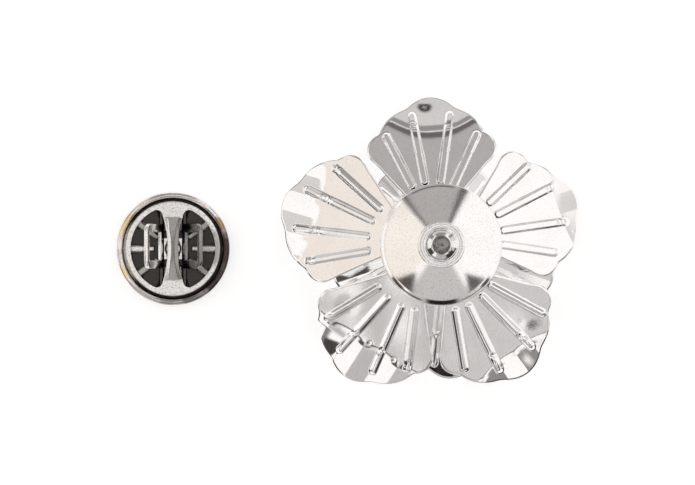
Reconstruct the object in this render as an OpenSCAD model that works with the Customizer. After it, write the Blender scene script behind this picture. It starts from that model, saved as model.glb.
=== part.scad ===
// Flower lapel pin lying face down, with its butterfly clutch taken off beside it.
// Millimetres. The post's axis is X = Y = 0, the table is Z = 0 and the post points up.

/* [Sheet metal] */
// Thickness of the stamped petals and of the washer
sheet_t = 0.4; // [0.3:0.05:0.5]
// Gap left between pieces that lie on each other
seat_gap = 0.02; // [0.01:0.01:0.04]

/* [Back petals] */
// Length of a back petal from its root point to its tip, seen from above
back_len = 13.6; // [12.5:0.1:14]
// Width of a back petal across its outer corners
back_w = 13.1; // [11.5:0.1:13.3]
// Distance from the post's axis to a back petal's root point
back_slide = 2.0; // [1.6:0.1:2.4]
// Slope of a back petal between the washer and its fold
back_tilt = 14; // [12:0.5:15]
// Height that a back petal loses from the middle to its tip
back_drop = 4.6; // [4.2:0.1:4.7]
// Half length of a petal's softened cross fold
fold_soft = 0.5; // [0.4:0.05:0.6]
// Distance from the post's axis to a back petal's cross fold
back_fold = 12.2; // [11.5:0.1:12.8]

/* [Front petals] */
// Length of the longest front petal from its root point to its tip, seen from above
front_len = 11.8; // [10.5:0.1:12.5]
// Width of a front petal across its outer corners
front_w = 10.4; // [9:0.1:11]
// Distance from the post's axis to a front petal's root point
front_slide = 1.6; // [1.4:0.1:1.8]
// Slope of a front petal before its fold
front_tilt = 23; // [22:0.5:26]

/* [Petal middle] */
// Diameter of the cone that joins a layer's petals round the post
centre_d = 9.2; // [8:0.1:10]
// Distance from the post's axis to where the back layer starts to slope
back_root = 1.5; // [1.3:0.1:1.6]

/* [Ribs] */
// Width of a stamped rib
rib_w = 0.75; // [0.6:0.05:0.9]
// Height of a rib over the sheet
rib_h = 0.25; // [0.2:0.05:0.3]

/* [Washer] */
// Diameter of the washer
washer_d = 12.4; // [11:0.1:12.8]
// Slope of the washer's cone
washer_tilt = 10.5; // [8:0.5:11]
// Diameter of the washer's flat middle
washer_flat_d = 3.6; // [3.2:0.1:4.2]

/* [Post] */
// Diameter of the post's flange
flange_d = 4.8; // [4.2:0.1:5.4]
// Thickness of the post's flange
flange_t = 0.35; // [0.3:0.05:0.5]
// Diameter of the dome on the flange
dome_d = 3.3; // [2.9:0.1:3.8]
// Height of the dome
dome_h = 0.75; // [0.6:0.05:1]
// Diameter of the collar at the foot of the pin
collar_d = 1.9; // [1.6:0.1:2.2]
// Diameter of the pin
pin_d = 1.15; // [1:0.05:1.3]
// Length of the pin above the dome
pin_len = 7.6; // [6:0.1:9]
// Depth of the grip groove near the pin's point
groove_depth = 0.18; // [0.16:0.01:0.22]
// Width of the grip groove
groove_w = 0.6; // [0.4:0.05:0.8]
// Length of the pin's point
point_len = 0.9; // [0.6:0.1:1.2]
// Diameter of the rivet shank that goes down through the stack
shank_d = 1.6; // [1.5:0.05:1.7]
// Clearance of the petals' holes round the shank
shank_gap = 0.07; // [0.05:0.01:0.1]

/* [Front button] */
// Height of the button from the table to the front petals
button_h = 5.0; // [4.8:0.1:5.4]
// Largest diameter of the button
button_d = 5.2; // [4.4:0.1:5.6]
// Diameter of the button's flat face
face_d = 3.4; // [2.8:0.1:3.8]
// Diameter of the button's neck under the front petals
neck_d = 2.2; // [1.9:0.1:2.3]

/* [Clutch cup] */
// Distance from the post's axis to the clutch's axis, along X
clutch_x = -27.2; // [-34:0.1:-24]
// Distance from the post's axis to the clutch's axis, along Y
clutch_y = -0.4; // [-4:0.1:4]
// Diameter of the clutch over its rolled rim
clutch_d = 11.5; // [11:0.1:13]
// Diameter of the rolled rim's roll
roll_d = 0.64; // [0.5:0.02:0.8]
// Height of the roll's centre over the table
roll_z = 1.15; // [1.1:0.05:1.4]
// Thickness of the cup's floor
floor_t = 0.35; // [0.3:0.01:0.38]
// Diameter of the hole that the post enters
hole_d = 1.3; // [1.25:0.01:1.5]
// Height of the floor's star rays
ray_h = 0.14; // [0.08:0.01:0.16]
// Width of a star ray
ray_w = 0.5; // [0.4:0.05:0.6]
// Distance from the clutch's axis to the rays' inner ends
ray_in = 1.9; // [1.7:0.1:2.2]
// Number of star rays
ray_count = 10; // [6:1:12]

/* [Clutch plate] */
// Gap between the rolled rim and the plate
rim_gap = 0.27; // [0.2:0.01:0.3]
// Height of the plate's top over the table
plate_z = 1.46; // [1.44:0.01:1.6]
// Thickness of the plate
plate_t = 0.3; // [0.25:0.01:0.32]
// Width of the plate's rim outside the windows
plate_rim = 0.53; // [0.45:0.01:0.6]
// Width of the bridge at its waist
bridge_w = 1.12; // [1:0.02:1.3]
// Radius of the bridge's waisted sides
bridge_r = 12.5; // [9:0.1:14]
// Rounding of the windows' corners
window_corner = 0.6; // [0.3:0.05:0.7]
// Width of the lip along each side of the bridge
lip_w = 0.42; // [0.25:0.01:0.46]
// Height of the lips over the plate
lip_h = 0.3; // [0.2:0.05:0.4]

/* [Clutch wings] */
// Distance from the clutch's axis to a wing's pivot
pivot_x = 1.15; // [1.1:0.05:1.3]
// Height of the pivots over the table
pivot_z = 0.8; // [0.78:0.01:0.84]
// Diameter of a wing's pivot bar
pivot_d = 0.52; // [0.46:0.02:0.56]
// Length of a wing's pivot bar
pivot_len = 7.8; // [7.6:0.1:8]
// Thickness of a wing
wing_t = 0.4; // [0.3:0.05:0.4]
// Height of a wing above its pivot, along the wing
wing_h = 4.5; // [3.5:0.1:5.5]
// Width of a wing along the bridge
wing_w = 4.6; // [4:0.1:4.8]
// Width of the strip round a wing's opening
strip_w = 0.6; // [0.5:0.05:0.8]
// Outward lean of a wing at rest
wing_lean = 21.5; // [18:0.5:26]
// Offset of both wings along the bridge
wing_shift = 0.25; // [0:0.05:0.3]
// Thickness of a wing's jaw
jaw_t = 0.24; // [0.18:0.02:0.26]
// Width of a wing's jaw along the bridge
jaw_w = 2.2; // [1.8:0.1:2.6]
// Depth of the jaw's middle under the pivot
jaw_drop = 0.12; // [0.08:0.01:0.14]
// Diameter of the notch that the jaws leave round a post
notch_d = 1.7; // [1.65:0.05:1.8]
// Half width of the gap between the two jaws
jaw_gap = 0.1; // [0.08:0.01:0.2]

/* [Hidden] */
$fn = 96;
mesh_fn = 24;
rib_fn = 10;
over = 1;

// A back petal: turn about the post, shares of back_slide, back_w, back_len and back_drop,
// then how far its left and right middle lobes stand out, in shares of back_w
TURN = 0;
SLIDE = 1;
SHIFT = 2;
LEN = 3;
DROP = 4;
LEFT = 5;
RIGHT = 6;
BACK = [
    [17.6, 0.70, 0.026, 0.972, 1.05, -0.015, 0.040],
    [91.4, 0.88, 0.053, 0.978, 1.07, 0.008, 0.008],
    [163.6, 1.20, 0.035, 1.045, 0.91, 0.023, 0.020],
    [237.2, 1.30, -0.066, 1.025, 0.97, 0.020, 0.030],
    [305.5, 0.89, -0.037, 1.029, 0.96, 0, 0.020]
];
// A front petal, the same columns: its drop is a share of the way down to the table
FRONT = [
    [61, 1.00, 0, 0.58, 1, 0, 0],
    [130, 1.00, 0, 0.64, 1, 0, 0],
    [198, 1.00, 0, 0.83, 1, 0, 0],
    [275, 1.00, 0, 1.02, 1, 0, 0],
    [342, 1.00, 0, 0.88, 1, 0, 0]
];
// A lobe of the scalloped edge: back from the tip and radius in shares of the length, side of the width
BACKSET = 0;
SIDE = 1;
ROUND = 2;
LOBES = [
    [0.230, 0, 0.230],
    [0.382, 0.111, 0.303],
    [0.400, 0.378, 0.116]
];
lobe_turn = 41;
// A rib: its angle from the petal's middle line, and where it ends as a share of the length
FAN = 0;
END = 1;
RIBS = [
    [9.5, 0.865],
    [26, 0.780]
];
rib_start = 0.36;
rib_r = (rib_w * rib_w / 4 + rib_h * rib_h) / (2 * rib_h);
front_fold = 0.66;

shank_r = shank_d / 2;
front_z = button_h + sheet_t;
back_z = front_z + seat_gap + sheet_t;
washer_z = back_z + seat_gap + sheet_t;
flange_z = washer_z + seat_gap;
pin_z = flange_z + flange_t + dome_h;
front_root = neck_d / 2 + seat_gap;

roll_r = (clutch_d - roll_d) / 2;
cup_in_r = roll_r - roll_d / 2;
plate_r = cup_in_r - rim_gap;
plate_foot_z = floor_t + seat_gap;
foot_t = plate_t;
skirt_t = plate_t;
plate_foot_r = cup_in_r - 3 * seat_gap;
window_r = plate_r - plate_rim;
window_x = bridge_w / 2 + bridge_r;
jaw_z = pivot_z - jaw_drop;

// The sheet's top along a petal's middle line: flat middle, slope, softened fold, steeper tip
FOLD = 2;
function fold_line(root, tilt, fold_x, reach, drop) =
    let (
        fold_drop = tan(tilt) * (fold_x - root),
        slope = (drop - fold_drop) / (reach - fold_x)
    )
    [
        [0, 0],
        [root, 0],
        [fold_x - fold_soft, tan(tilt) * fold_soft - fold_drop],
        [fold_x + fold_soft, -fold_drop - slope * fold_soft],
        [reach + over, -drop - slope * over]
    ];

function reversed(list) = [for (i = [len(list) - 1:-1:0]) list[i]];

// Vertical thickness of the sheet in the stretch that ends at point i, so that it is sheet_t across
function steep_t(line, i) =
    let (a = line[max(i - 1, 0)], b = line[max(i, 1)])
    sheet_t * norm(b - a) / (b[0] - a[0]);

module sheet_section(line) {
    under = [for (i = [0:len(line) - 1]) [line[i][0], line[i][1] - steep_t(line, i)]];
    polygon(concat(line, reversed(under)));
}

module petal_outline(length, w, p) {
    module lobe(l, side, out = 0) {
        translate([length * (1 - l[BACKSET]), side * w * l[SIDE]])
            translate(w * out * [cos(lobe_turn), side * sin(lobe_turn)])
                circle(length * l[ROUND], $fn = mesh_fn);
    }
    offset(r = -rib_h, $fn = mesh_fn)
        offset(r = rib_h, $fn = mesh_fn) {
            hull() {
                square(seat_gap, center = true);
                lobe(LOBES[2], 1);
                lobe(LOBES[2], -1);
            }
            lobe(LOBES[0], 1);
            lobe(LOBES[1], 1, p[LEFT]);
            lobe(LOBES[1], -1, p[RIGHT]);
        }
}

// One rib laid along the sheet outside the radius clear, let into it by sink
module rib(rib, length, slide, line, clear, sink) {
    function on_sheet(share) =
        let (x = slide + share * length * cos(rib[FAN]))
        [x, share * length * sin(rib[FAN]), lookup(x, line) + rib_h - rib_r - sink];
    module knuckle(share) {
        translate(on_sheet(share))
            sphere(rib_r, $fn = rib_fn);
    }
    start = max(rib_start, (clear + rib_w / 2 - slide) / length);
    bend = (line[FOLD][0] + fold_soft - slide) / (length * cos(rib[FAN]));
    stops = bend < rib[END] ? [start, bend, rib[END]] : [start, rib[END]];
    for (i = [1:len(stops) - 1])
        hull() {
            knuckle(stops[i - 1]);
            knuckle(stops[i]);
        }
}

module rib_set(length, slide, line, clear, sink) {
    for (r = RIBS, side = [0, 1])
        mirror([0, side, 0])
            rib(r, length, slide, line, clear, sink);
}

// A stamped petal along +X: its sheet folded down along the line, ribs raised on top and hollow below
module petal(length, w, slide, line, p, clear = 0) {
    difference() {
        union() {
            intersection() {
                translate([slide, 0, -3 * length])
                    linear_extrude(4 * length)
                        petal_outline(length, w, p);
                rotate([90, 0, 0])
                    linear_extrude(w + over, center = true)
                        sheet_section(line);
            }
            rib_set(length, slide, line, clear, 0);
        }
        rib_set(length, slide, line, clear, sheet_t);
    }
}

// The cone that joins a layer's petals round the rivet
module petal_centre(root, tilt) {
    edge = centre_d / 2;
    line = [[0, 0], [root, 0], [edge, -tan(tilt) * (edge - root)]];
    rotate_extrude($fn = mesh_fn)
        sheet_section(line);
}

module shank_hole() {
    cylinder(r = shank_r + shank_gap, h = washer_z);
}

module petals_back() {
    color("gainsboro")
        difference() {
            translate([0, 0, back_z]) {
                petal_centre(back_root, back_tilt);
                for (p = BACK) {
                    slide = back_slide * p[SLIDE];
                    length = back_len * p[LEN];
                    line = fold_line(back_root, back_tilt, back_fold, slide + length, back_drop * p[DROP]);
                    rotate(p[TURN])
                        translate([0, back_w * p[SHIFT], 0])
                            petal(length, back_w, slide, line, p, washer_d / 2);
                }
            }
            shank_hole();
        }
}

module petals_front() {
    to_table = front_z - 2 * sheet_t;
    color("silver")
        difference() {
            translate([0, 0, front_z]) {
                petal_centre(front_root, front_tilt);
                for (p = FRONT) {
                    slide = front_slide * p[SLIDE];
                    length = front_len * p[LEN];
                    reach = slide + length;
                    line = fold_line(front_root, front_tilt, front_fold * reach, reach, to_table * p[DROP]);
                    rotate(p[TURN])
                        petal(length, front_w, slide, line, p);
                }
            }
            shank_hole();
        }
}

module back_washer() {
    edge = washer_d / 2;
    flat = washer_flat_d / 2;
    drop = tan(washer_tilt) * (edge - flat);
    color("lightgray")
        translate([0, 0, washer_z])
            rotate_extrude()
                polygon([
                    [shank_r + seat_gap, 0],
                    [flat, 0],
                    [edge - sheet_t / 3, tan(washer_tilt) * sheet_t / 3 - drop],
                    [edge, -drop - sheet_t / 3],
                    [edge, -drop - sheet_t],
                    [flat, -sheet_t],
                    [shank_r + seat_gap, -sheet_t]
                ]);
}

module post() {
    pin_r = pin_d / 2;
    dome_r = (dome_d * dome_d / 4 + dome_h * dome_h) / (2 * dome_h);
    groove_z = pin_len - point_len - groove_w;
    pin_foot = pin_z - flange_z;
    color("silver") {
        translate([0, 0, flange_z])
            rotate_extrude()
                polygon([
                    [0, 0],
                    [flange_d / 2 - flange_t / 3, 0],
                    [flange_d / 2, flange_t / 3],
                    [flange_d / 2, 2 * flange_t / 3],
                    [flange_d / 2 - flange_t / 3, flange_t],
                    [0, flange_t]
                ]);
        translate([0, 0, flange_z + flange_t + dome_h - dome_r])
            intersection() {
                sphere(dome_r);
                translate([0, 0, dome_r - dome_h - flange_t / 2])
                    cylinder(d = 2 * dome_d, h = 2 * dome_h);
            }
        translate([0, 0, pin_z - dome_h / 2])
            cylinder(d1 = collar_d, d2 = pin_d, h = dome_h);
        translate([0, 0, flange_z])
            rotate_extrude()
                polygon([
                    [0, 0],
                    [pin_r, 0],
                    [pin_r, pin_foot + groove_z],
                    [pin_r - groove_depth, pin_foot + groove_z],
                    [pin_r - groove_depth, pin_foot + groove_z + groove_w],
                    [pin_r, pin_foot + groove_z + groove_w],
                    [pin_r / 4, pin_foot + pin_len],
                    [0, pin_foot + pin_len]
                ]);
        translate([0, 0, button_h - neck_d / 2])
            cylinder(r = shank_r, h = flange_z + flange_t / 2 - button_h + neck_d / 2);
    }
}

module front_button() {
    color("silver")
        difference() {
            rotate_extrude()
                polygon([
                    [0, 0],
                    [face_d / 2, 0],
                    [button_d / 2, 0.18 * button_h],
                    [button_d / 2, 0.42 * button_h],
                    [0.8 * button_d / 2, 0.6 * button_h],
                    [neck_d / 2, 0.72 * button_h],
                    [neck_d / 2, button_h - seat_gap],
                    [0, button_h - seat_gap]
                ]);
            translate([0, 0, button_h - neck_d / 2 - seat_gap])
                cylinder(r = shank_r + seat_gap, h = neck_d);
        }
}

module at_clutch() {
    translate([clutch_x, clutch_y, 0])
        children();
}

module star_ray() {
    ray_out = plate_r - skirt_t - 2 * seat_gap;
    translate([ray_in, 0, floor_t - ray_h])
        rotate([90, 0, 90])
            linear_extrude(ray_out - ray_in)
                polygon([[-ray_w / 2, 0], [ray_w / 2, 0], [ray_w / 2, ray_h], [0, 2 * ray_h], [-ray_w / 2, ray_h]]);
}

module clutch_cup() {
    color("rosybrown")
        at_clutch()
            difference() {
                union() {
                    cylinder(r = roll_r, h = floor_t);
                    rotate_extrude() {
                        translate([cup_in_r, 0])
                            square([roll_d / 2, roll_z]);
                        translate([roll_r, roll_z])
                            circle(d = roll_d);
                    }
                    for (i = [0:ray_count - 1])
                        rotate(360 * i / ray_count)
                            star_ray();
                }
                translate([0, 0, -over])
                    cylinder(d = hole_d, h = floor_t + 2 * over);
            }
}

// One D-shaped window, to the right of the bridge
module window_outline() {
    offset(r = window_corner, $fn = mesh_fn)
        offset(delta = -window_corner)
            intersection() {
                circle(window_r);
                translate([window_x, 0])
                    circle(bridge_r);
            }
}

// The raised lip along the bridge's right side
module bridge_lip() {
    lip_len = 1.5 * window_r;
    intersection() {
        difference() {
            translate([window_x, 0, 0])
                cylinder(r = bridge_r + lip_w, h = lip_h + plate_t / 2);
            translate([window_x, 0, -over])
                cylinder(r = bridge_r, h = lip_h + plate_t + 2 * over);
        }
        translate([0, -lip_len / 2, 0])
            cube([window_r / 2, lip_len, lip_h + plate_t]);
    }
}

module clutch_plate() {
    color("gainsboro")
        at_clutch() {
            difference() {
                rotate_extrude()
                    polygon([
                        [0, plate_z - plate_t],
                        [plate_r - skirt_t, plate_z - plate_t],
                        [plate_r - skirt_t, plate_foot_z],
                        [plate_foot_r, plate_foot_z],
                        [plate_foot_r, plate_foot_z + foot_t],
                        [plate_r, plate_foot_z + foot_t],
                        [plate_r, plate_z],
                        [0, plate_z]
                    ]);
                for (side = [0, 1])
                    mirror([side, 0, 0])
                        translate([0, 0, plate_z - 2 * plate_t])
                            linear_extrude(3 * plate_t)
                                window_outline();
            }
            for (side = [0, 1])
                mirror([side, 0, 0])
                    translate([0, 0, plate_z - plate_t / 2])
                        bridge_lip();
        }
}

module wing_outline() {
    corner = wing_w / 5;
    module rounded(w, h) {
        hull() {
            translate([-w / 2, 0])
                square([w, corner / 2]);
            for (side = [-1, 1])
                translate([side * (w / 2 - corner), h - corner])
                    circle(corner, $fn = mesh_fn);
        }
    }
    difference() {
        rounded(wing_w, wing_h);
        translate([0, 2 * strip_w])
            rounded(wing_w - 2 * strip_w, wing_h - 3 * strip_w);
    }
}

// The right wing at the clutch's own origin: pivot bar, leaning loop and jaw
module wing() {
    translate([pivot_x, 0, pivot_z]) {
        rotate([90, 0, 0])
            cylinder(d = pivot_d, h = pivot_len, center = true);
        translate([0, wing_shift, 0])
            rotate([90, 0, 90])
                rotate([wing_lean, 0, 0])
                    translate([0, 0, -wing_t / 2])
                        linear_extrude(wing_t)
                            wing_outline();
    }
    difference() {
        translate([jaw_gap, -jaw_w / 2, jaw_z - jaw_t / 2])
            cube([pivot_x - jaw_gap, jaw_w, jaw_t]);
        cylinder(d = notch_d, h = 2 * pivot_z);
    }
}

module wing_right() {
    color("darkgray")
        at_clutch()
            wing();
}

module wing_left() {
    color("darkgray")
        at_clutch()
            mirror([1, 0, 0])
                wing();
}

petals_back();
petals_front();
back_washer();
post();
front_button();
clutch_cup();
clutch_plate();
wing_left();
wing_right();
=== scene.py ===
"""Flower lapel pin lying face down beside its butterfly clutch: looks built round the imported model."""

import functools
import logging
import math
from dataclasses import dataclass, replace
from enum import Enum
from typing import Any, Callable, Sequence

import bpy
import numpy as np
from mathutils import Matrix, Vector


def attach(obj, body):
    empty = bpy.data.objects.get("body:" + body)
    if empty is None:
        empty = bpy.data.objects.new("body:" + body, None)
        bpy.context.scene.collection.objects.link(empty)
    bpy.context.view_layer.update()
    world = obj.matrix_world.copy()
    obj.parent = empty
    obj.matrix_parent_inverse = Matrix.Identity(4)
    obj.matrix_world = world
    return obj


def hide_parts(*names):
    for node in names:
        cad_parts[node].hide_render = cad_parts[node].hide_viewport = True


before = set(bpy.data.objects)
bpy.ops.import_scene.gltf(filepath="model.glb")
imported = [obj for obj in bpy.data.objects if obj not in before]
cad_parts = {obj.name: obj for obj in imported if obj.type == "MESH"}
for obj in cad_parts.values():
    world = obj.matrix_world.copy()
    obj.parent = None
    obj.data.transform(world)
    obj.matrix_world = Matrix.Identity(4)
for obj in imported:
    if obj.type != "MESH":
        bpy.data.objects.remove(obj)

LOG = logging.getLogger("lapel_pin")
MM = 0.001
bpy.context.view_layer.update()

Colour = tuple[float, float, float]
Point = tuple[float, float]

CLUTCH_X, CLUTCH_Y = -27.2, -0.4
CLUTCH_MIDDLE = (CLUTCH_X, CLUTCH_Y)


# Shader tools


class Value:
    """A number in a node tree. Python operators on it add Math nodes."""

    def __init__(self, tree: "Tree", socket: bpy.types.NodeSocket) -> None:
        """Keeps the tree and the socket that the number comes out of."""
        self.tree = tree
        self.socket = socket

    def maths(self, operation: str, *others: "Value | float") -> "Value":
        """Runs one Math node on this number and its further operands."""
        values = dict(enumerate((self, *others)))
        return self.tree.value("ShaderNodeMath", values, operation=operation)

    def __add__(self, other: "Value | float") -> "Value":
        """Adds."""
        return self.maths("ADD", other)

    __radd__ = __add__

    def __mul__(self, other: "Value | float") -> "Value":
        """Multiplies."""
        return self.maths("MULTIPLY", other)

    __rmul__ = __mul__

    def __sub__(self, other: "Value | float") -> "Value":
        """Subtracts."""
        return self.maths("SUBTRACT", other)

    def __rsub__(self, other: float) -> "Value":
        """Subtracts this number from a plain one."""
        return self.maths("MULTIPLY", -1.0) + other

    def __abs__(self) -> "Value":
        """Drops the sign."""
        return self.maths("ABSOLUTE")

    def rise(self, low: float, high: float) -> "Value":
        """Goes smoothly from 0 at low to 1 at high."""
        inputs = {"Value": self, "From Min": low, "From Max": high}
        return self.tree.value("ShaderNodeMapRange", inputs, interpolation_type="SMOOTHSTEP")

    def band(self, low: float, high: float, soft: float) -> "Value":
        """Is 1 between low and high and 0 outside, over edges that are soft to either side."""
        inside = self.rise(low - soft, low + soft)
        return inside * (1 - self.rise(high - soft, high + soft))

    def away(self, middle: float) -> "Value":
        """Gives the angle, from 0 to 180, between this direction and another one in degrees."""
        return abs((self + (540 - middle)).maths("FLOORED_MODULO", 360) - 180)


class Tree:
    """A node tree that nodes are added to with one method."""

    def __init__(self, tree: bpy.types.NodeTree) -> None:
        """Empties the tree."""
        self.tree = tree
        tree.nodes.clear()

    def node(self, kind: str, inputs: dict[Any, Any] | None = None, **settings: Any) -> bpy.types.Node:
        """Adds one node.

        Args:
            kind: the node's type.
            inputs: values or links of its sockets, by name or number.
            settings: its own properties, set before its sockets.

        Returns:
            The node.
        """
        made = self.tree.nodes.new(kind)
        for name, setting in settings.items():
            setattr(made, name, setting)
        for key, given in (inputs or {}).items():
            given = given.socket if isinstance(given, Value) else given
            if isinstance(given, bpy.types.NodeSocket):
                self.tree.links.new(given, made.inputs[key])
            else:
                made.inputs[key].default_value = given
        return made

    def value(self, kind: str, inputs: dict[Any, Any], **settings: Any) -> Value:
        """Adds one node and gives its first result as a number."""
        return Value(self, self.node(kind, inputs, **settings).outputs[0])

    def blend(self, factor: Value, low: Any, high: Any) -> bpy.types.NodeSocket:
        """Mixes two colours.

        Args:
            factor: the share of the second colour.
            low: the first colour, plain or a socket.
            high: the second colour.

        Returns:
            The mixed colour's socket.
        """
        low = (*low, 1.0) if isinstance(low, tuple) else low
        mixer = self.node("ShaderNodeMix", {0: factor, 6: low, 7: (*high, 1.0)}, data_type="RGBA")
        return mixer.outputs[2]

    def parts(self, vector: bpy.types.NodeSocket) -> list[Value]:
        """Splits a vector into its three numbers."""
        split = self.node("ShaderNodeSeparateXYZ", {0: vector})
        return [Value(self, out) for out in split.outputs]

    @staticmethod
    def polar(x: Value, y: Value) -> tuple[Value, Value]:
        """Gives a place's direction round the upright axis, in radians, and its distance from it."""
        return y.maths("ARCTAN2", x), (x * x + y * y).maths("SQRT")

    def surface(self, inputs: dict[str, Any]) -> None:
        """Ends a material's tree in one Principled shader."""
        shader = self.node("ShaderNodeBsdfPrincipled", inputs)
        self.node("ShaderNodeOutputMaterial", {"Surface": shader.outputs[0]})

    def noise(self, vector: bpy.types.NodeSocket, scale: float, detail: float = 2.0) -> Value:
        """Adds a Noise Texture with scale cells per unit and detail octaves, and gives its 0 to 1."""
        return self.value("ShaderNodeTexNoise", {"Vector": vector, "Scale": scale, "Detail": detail})


# Finishes

# The noise values between which clouds and specks of stain set in.
CLOUD_RISE = (0.42, 0.66)
SPECK_RISE = (0.50, 0.72)


class Grain(Enum):
    """How the metal's surface was worked."""

    ROLLED = "rolled"
    BRUSHED_ROUND = "brushed round the middle"
    DRAWN_OUT = "drawn outwards from the middle"
    SANDY = "sandy"


@dataclass(frozen=True)
class Plating:
    """A plated finish. Sizes are in millimetres, and the grain follows Object coordinates.

    The stain lies over the tint as clouds and as specks, each with its share. Painted reflections,
    light and dark, lie over it as a list of patches: direction round the middle, half width and
    colour. A floor_z paints shade on what lies below it out to floor_reach, and only by lit_dark round
    the lit_side (direction, half width), as painted light there. A lit_half paints shade on what lies
    further than that off the middle line, and half as much on the part between. A valley (half width,
    spread, reach) paints shade on the strip along a bridge, and more on its waist.
    """

    name: str
    tint: Colour
    stain: Colour
    stain_share: float
    roughness: float
    roughness_spread: float
    grain: Grain
    grain_size: float
    grain_height: float
    speck_share: float
    middle: Point = (0.0, 0.0)
    painted_reflections: tuple[tuple[float, float, Colour], ...] = ()
    floor_z: tuple[float, float] | None = None
    floor_reach: float = 5.3
    lit_half: float | None = None
    lit_side: Point | None = None
    lit_dark: float = 0.35
    shade: Colour = (0.035, 0.032, 0.03)
    valley: tuple[float, float, float] | None = None
    valley_dark: float = 0.70
    waist_dark: float = 0.45

    @functools.cache
    def material(self) -> bpy.types.Material:
        """Builds the finish's node material, once.

        Returns:
            The material.
        """
        made = bpy.data.materials.new(f"{self.name}_dressed")
        made.use_nodes = True
        tree = Tree(made.node_tree)
        mapping = {
            "Vector": tree.node("ShaderNodeTexCoord").outputs["Object"],
            "Location": (-self.middle[0], -self.middle[1], 0.0),
            "Scale": (1 / MM, 1 / MM, 1 / MM),
        }
        place = tree.node("ShaderNodeMapping", mapping).outputs[0]
        grain = self.grain_field(tree, place)
        cloud = tree.noise(place, scale=0.45, detail=3.0)
        speck = tree.noise(place, scale=1.1 / self.grain_size, detail=1.0)
        colour = tree.blend(cloud.rise(*CLOUD_RISE) * self.stain_share, self.tint, self.stain)
        colour = tree.blend(speck.rise(*SPECK_RISE) * self.speck_share, colour, self.stain)
        # Painted reflections, then painted shade, go over the stained colour.
        colour = self.shaded(tree, place, self.with_painted_reflections(tree, place, colour))
        roughness = self.roughness + (cloud * 0.6 + grain * 0.4 - 0.5) * self.roughness_spread
        bumps = {"Height": grain, "Distance": self.grain_height * MM, "Strength": 1.0}
        bump = tree.node("ShaderNodeBump", bumps).outputs[0]
        tree.surface({"Base Color": colour, "Metallic": 1.0, "Roughness": roughness, "Normal": bump})
        return made

    def grain_field(self, tree: Tree, place: bpy.types.NodeSocket) -> Value:
        """Makes the height pattern of the worked surface.

        Args:
            tree: the material's tree.
            place: Object coordinates in millimetres about the finish's middle.

        Returns:
            The pattern, about 0 to 1.
        """
        if self.grain is Grain.SANDY:
            return tree.noise(place, 1 / self.grain_size, 3.0)
        fine = tree.noise(place, 1 / self.grain_size, 2.0)
        if self.grain is Grain.ROLLED:
            return fine * 0.55 + tree.noise(place, 0.55, 1.0) * 0.45
        x, y, z = tree.parts(place)
        turn, radius = tree.polar(x, y)
        if self.grain is Grain.BRUSHED_ROUND:
            lines = {0: turn * (9 / self.grain_size), 1: radius * 0.8, 2: z}
            return tree.noise(tree.node("ShaderNodeCombineXYZ", lines).outputs[0], 1.0) * 0.6 + fine * 0.4
        lines = {0: turn * 34, 1: radius * 0.35, 2: z * 0.3}
        return tree.noise(tree.node("ShaderNodeCombineXYZ", lines).outputs[0], 1.6, 3.0) * 0.5 + fine * 0.5

    def with_painted_reflections(
        self, tree: Tree, place: bpy.types.NodeSocket, colour: bpy.types.NodeSocket
    ) -> bpy.types.NodeSocket:
        """Lays the ragged patches of painted reflection, light and dark, over the colour.

        Args:
            tree: the material's tree.
            place: Object coordinates in millimetres about the finish's middle.
            colour: the colour so far.

        Returns:
            The colour with its patches.
        """
        x, y, _ = tree.parts(place)
        turn = tree.polar(x, y)[0] * math.degrees(1)
        ragged = tree.noise(place, 1.1, 3.0) * 30 - 15
        # Patches of painted reflection, light and dark, with ragged edges round the middle.
        for middle, half, tint in self.painted_reflections:
            patch = 1 - (turn + ragged).away(middle).rise(half * 0.4, half * 1.2)
            colour = tree.blend(patch, colour, tint)
        return colour

    def shaded(
        self, tree: Tree, place: bpy.types.NodeSocket, colour: bpy.types.NodeSocket
    ) -> bpy.types.NodeSocket:
        """Paints shade on what lies deep: a bridge's valley, the floor of a groove and a floor's far sides.

        Args:
            tree: the material's tree.
            place: Object coordinates in millimetres about the finish's middle.
            colour: the colour so far.

        Returns:
            The finished colour.
        """
        x, y, z = tree.parts(place)
        turn, radius = tree.polar(x, y)
        soft = 0.1
        # Painted shade along a bridge's valley, deeper at its waist.
        if self.valley:
            half, spread, reach = self.valley
            side = abs(x) - y * y * spread
            inside = (1 - side.rise(half, half + 0.16)) * (1 - abs(y).rise(reach - 0.15, reach))
            colour = tree.blend(inside * self.valley_dark, colour, tuple(0.5 * part for part in self.stain))
            waist = inside * (1 - abs(y).rise(0.4, 2.0))
            colour = tree.blend(waist * self.waist_dark, colour, self.shade)
        # Painted shade low in a groove, lifted by painted light round the lit side.
        if self.floor_z:
            inside = 1 - radius.rise(self.floor_reach - soft, self.floor_reach + soft)
            if self.lit_side:
                middle, half = self.lit_side
                off = (turn * math.degrees(1)).away(middle)
                lit = off.rise(half - 9, half + 9)
                inside = inside * (self.lit_dark + (1 - self.lit_dark) * lit)
            colour = tree.blend(inside * (1 - z.rise(*self.floor_z)), colour, self.shade)
        # Painted shade beyond a strip along the middle line.
        if self.lit_half:
            far = abs(y).rise(self.lit_half - soft, self.lit_half + soft)
            far = far.maths("MAXIMUM", abs(y).rise(0.6, 0.9) * 0.5)
            colour = tree.blend(far, colour, self.shade)
        return colour


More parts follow.
